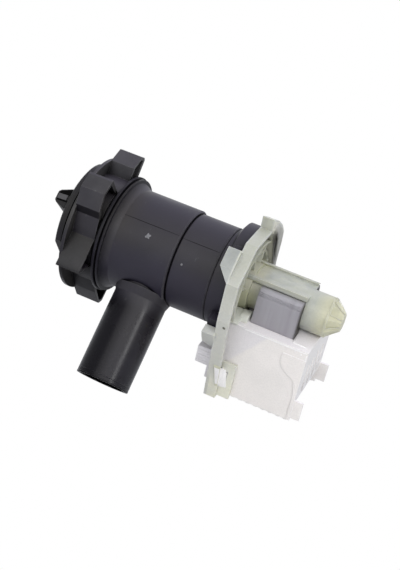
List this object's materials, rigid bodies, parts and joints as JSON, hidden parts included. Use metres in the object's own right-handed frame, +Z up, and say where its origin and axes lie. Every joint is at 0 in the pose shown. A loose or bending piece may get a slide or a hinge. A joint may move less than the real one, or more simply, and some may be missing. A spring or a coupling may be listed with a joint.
{
  "type": "washing machine drain pump",
  "caption": "Drain pump with a lobed screw-in filter cap, a black filter barrel with a downward inlet tube, and a cream motor bracket carrying a laminated core and a white coil cover.",
  "frame": {"origin": "on the pump axis, in the plane of the filter housing's front collar", "axes": "+X along the pump axis from the filter cap to the motor, +Z up with the inlet tube pointing down, +Y towards the outlet spigot"},
  "size_m": [0.2106, 0.1298, 0.1549],
  "materials": {
    "black_plastic": "fine moulded grain with a satin sheen",
    "cap_plastic": "fine moulded grain",
    "seal_rubber": "smooth",
    "white_plastic": "natural nylon",
    "tan_plastic": "satin",
    "steel": "ground",
    "ferrite": "ground ferrite",
    "cream_plastic": "slightly translucent, satin",
    "sintered_bronze": "porous",
    "laminations": "stacked sheet edges",
    "copper": "enamelled wire",
    "cover_plastic": "white, satin",
    "connector_plastic": "light grey, satin"
  },
  "bodies": {
    "housing": {"filter_housing": "black_plastic", "pump_housing": "black_plastic", "housing_seal": "seal_rubber", "bracket_seal": "seal_rubber", "rotor_cover": "cream_plastic", "front_bush": "sintered_bronze", "rear_bush": "sintered_bronze", "front_bush_mount": "seal_rubber", "rear_bush_mount": "seal_rubber", "motor_bracket": "cream_plastic", "stator_core": "laminations", "near_bobbin": "white_plastic", "far_bobbin": "white_plastic", "near_winding": "copper", "far_winding": "copper", "coil_cover": "cover_plastic", "connector_housing": "connector_plastic", "terminals": "steel", "thermal_cutout": "cap_plastic"},
    "filter": {"lint_filter": "cap_plastic", "filter_seal": "seal_rubber"},
    "cap": {"filter_cap": "cap_plastic"},
    "rotor": {"rotor_shaft": "steel", "rotor_magnet": "ferrite", "rotor_carrier": "white_plastic", "thrust_washers": "tan_plastic", "drive_dog": "tan_plastic"},
    "impeller": {"impeller": "white_plastic"}
  },
  "joints": [
    {"name": "filter_pull", "type": "slide", "parent": "housing", "child": "filter", "axis": [-1, 0, 0], "range_m": [0, 0.1]},
    {"name": "cap_turn", "type": "hinge", "parent": "filter", "child": "cap", "pos_m": [-0.03, 0, 0], "axis": [-1, 0, 0], "range_deg": [0, 90]},
    {"name": "rotor_spin", "type": "hinge", "parent": "housing", "child": "rotor", "pos_m": [0.128, 0, 0], "axis": [1, 0, 0], "continuous": true},
    {"name": "impeller_play", "type": "hinge", "parent": "rotor", "child": "impeller", "pos_m": [0.084, 0, 0], "axis": [1, 0, 0], "range_deg": [-122, 122]}
  ]
}
